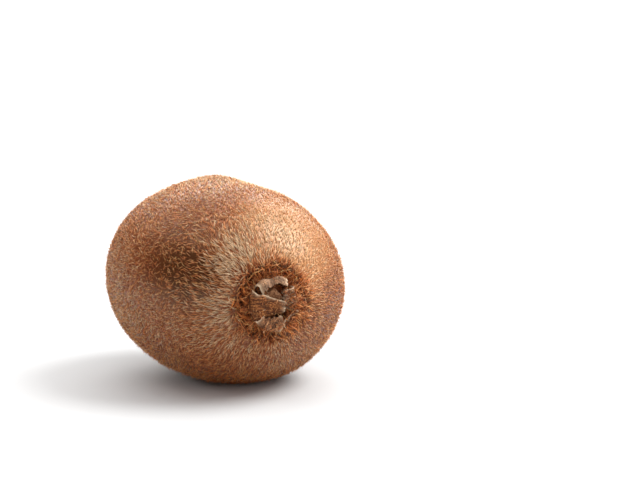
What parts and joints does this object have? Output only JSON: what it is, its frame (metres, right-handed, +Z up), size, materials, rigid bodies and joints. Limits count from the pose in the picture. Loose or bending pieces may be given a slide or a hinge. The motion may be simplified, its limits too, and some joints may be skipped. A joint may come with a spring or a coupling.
{
  "type": "kiwi fruit",
  "caption": "Whole ripe kiwi fruit on its side: plump oval body, dried sepals folded over the stem scar, dried styles at the blossom end.",
  "frame": {"origin": "middle of the underside, on the flat spot that the fruit rests on", "axes": "+Z up, +Y along the fruit from its stem end to its blossom end, +X across it, to the right when the stem end faces the viewer"},
  "size_m": [0.0558, 0.0703, 0.0487],
  "materials": {
    "skin": "thin brown skin with fine golden-tan hairs, satin",
    "sepals": "dry and papery, rusty brown outside with pale torn margins",
    "scar": "dry cork with broken fibres",
    "styles": "dry and brittle, dark brown"
  },
  "bodies": {
    "root": {"fruit_body": "skin", "calyx": "sepals", "stem_scar": "scar", "style_tuft": "styles"}
  },
  "joints": []
}
